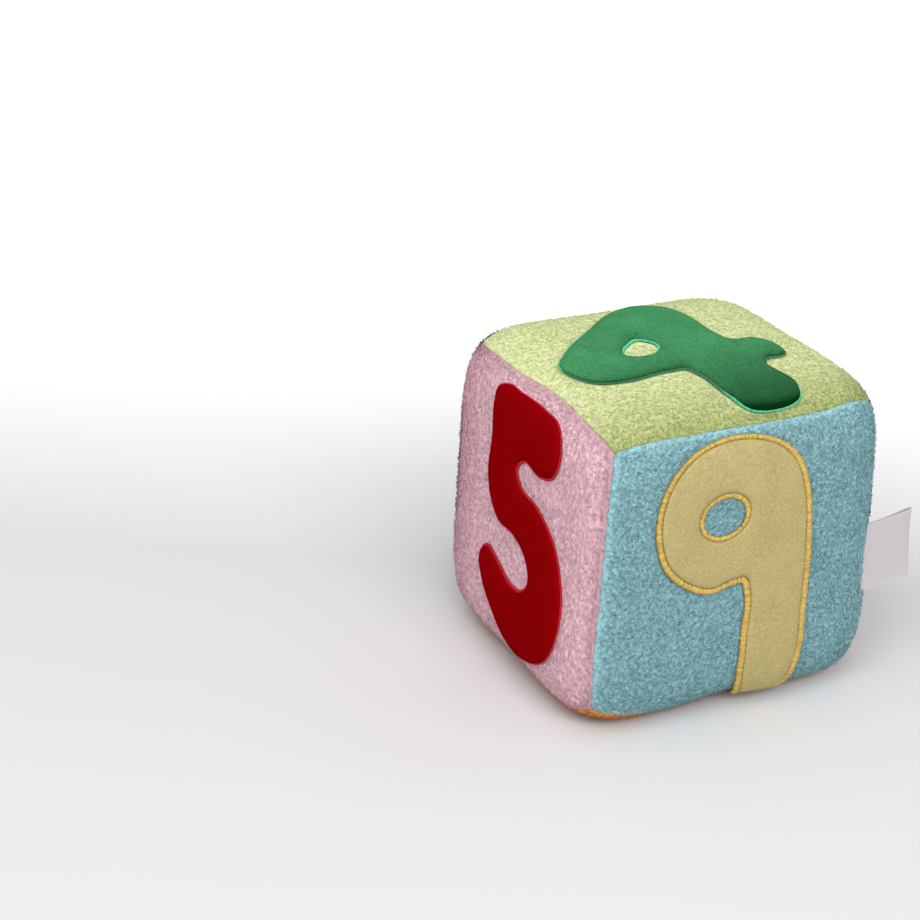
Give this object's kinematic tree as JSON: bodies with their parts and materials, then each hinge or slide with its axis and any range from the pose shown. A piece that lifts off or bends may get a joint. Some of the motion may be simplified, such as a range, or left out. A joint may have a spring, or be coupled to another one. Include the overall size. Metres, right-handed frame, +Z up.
{
  "type": "soft fabric block",
  "caption": "Soft stuffed fabric cube with a fleece panel on each side, an appliqued numeral on each panel and a small ribbon label in one seam.",
  "frame": {"origin": "on the surface that the block stands on, under the middle of its body, on the pressed flat fabric of the bottom numeral", "axes": "+Z up through the lime panel, -Y out of the aqua panel, -X out of the pink panel, +X out of the plum panel that the label's seam borders"},
  "size_m": [0.1304, 0.1108, 0.1119],
  "materials": {
    "pink_fleece": "napped fleece",
    "aqua_fleece": "napped fleece",
    "lime_fleece": "napped fleece",
    "orange_fleece": "napped fleece",
    "charcoal_fleece": "napped fleece",
    "plum_fleece": "napped fleece",
    "red_velour": "brushed velour",
    "green_velour": "brushed velour",
    "yellow_velour": "brushed velour",
    "blue_velour": "brushed velour",
    "red_satin": "satin stitched thread",
    "mint_satin": "satin stitched thread",
    "gold_satin": "satin stitched thread",
    "blue_satin": "satin stitched thread",
    "thread": "spun sewing thread",
    "fibre": "loose fibre filling",
    "ribbon": "satin ribbon"
  },
  "bodies": {
    "block": {"fibre_filling": "fibre", "pink_panel": "pink_fleece", "aqua_panel": "aqua_fleece", "lime_panel": "lime_fleece", "orange_panel": "orange_fleece", "charcoal_panel": "charcoal_fleece", "plum_panel": "plum_fleece", "numeral_5": "red_velour", "numeral_9": "yellow_velour", "numeral_4": "green_velour", "numeral_6": "green_velour", "numeral_7": "blue_velour", "numeral_8": "yellow_velour", "border_5": "red_satin", "border_9": "gold_satin", "border_9_eye": "gold_satin", "border_4": "mint_satin", "border_4_eye": "mint_satin", "border_6": "mint_satin", "border_6_eye": "mint_satin", "border_7": "blue_satin", "border_8": "gold_satin", "border_8_upper_eye": "gold_satin", "border_8_lower_eye": "gold_satin", "thread_pink_aqua": "thread", "thread_aqua_plum_lower": "thread", "thread_aqua_plum_upper": "thread", "thread_plum_charcoal": "thread", "thread_charcoal_pink": "thread", "thread_lime_pink": "thread", "thread_lime_aqua": "thread", "thread_lime_plum": "thread", "thread_lime_charcoal": "thread", "thread_orange_pink": "thread", "thread_orange_aqua": "thread", "thread_orange_plum": "thread", "closing_thread_orange_charcoal": "thread"},
    "label": {"side_label": "ribbon"}
  },
  "joints": [
    {"name": "label_hinge", "type": "hinge", "parent": "block", "child": "label", "pos_m": [0.05025, -0.04756, 0.0472], "axis": [0, 0, 1], "range_deg": [-129, 18]}
  ]
}
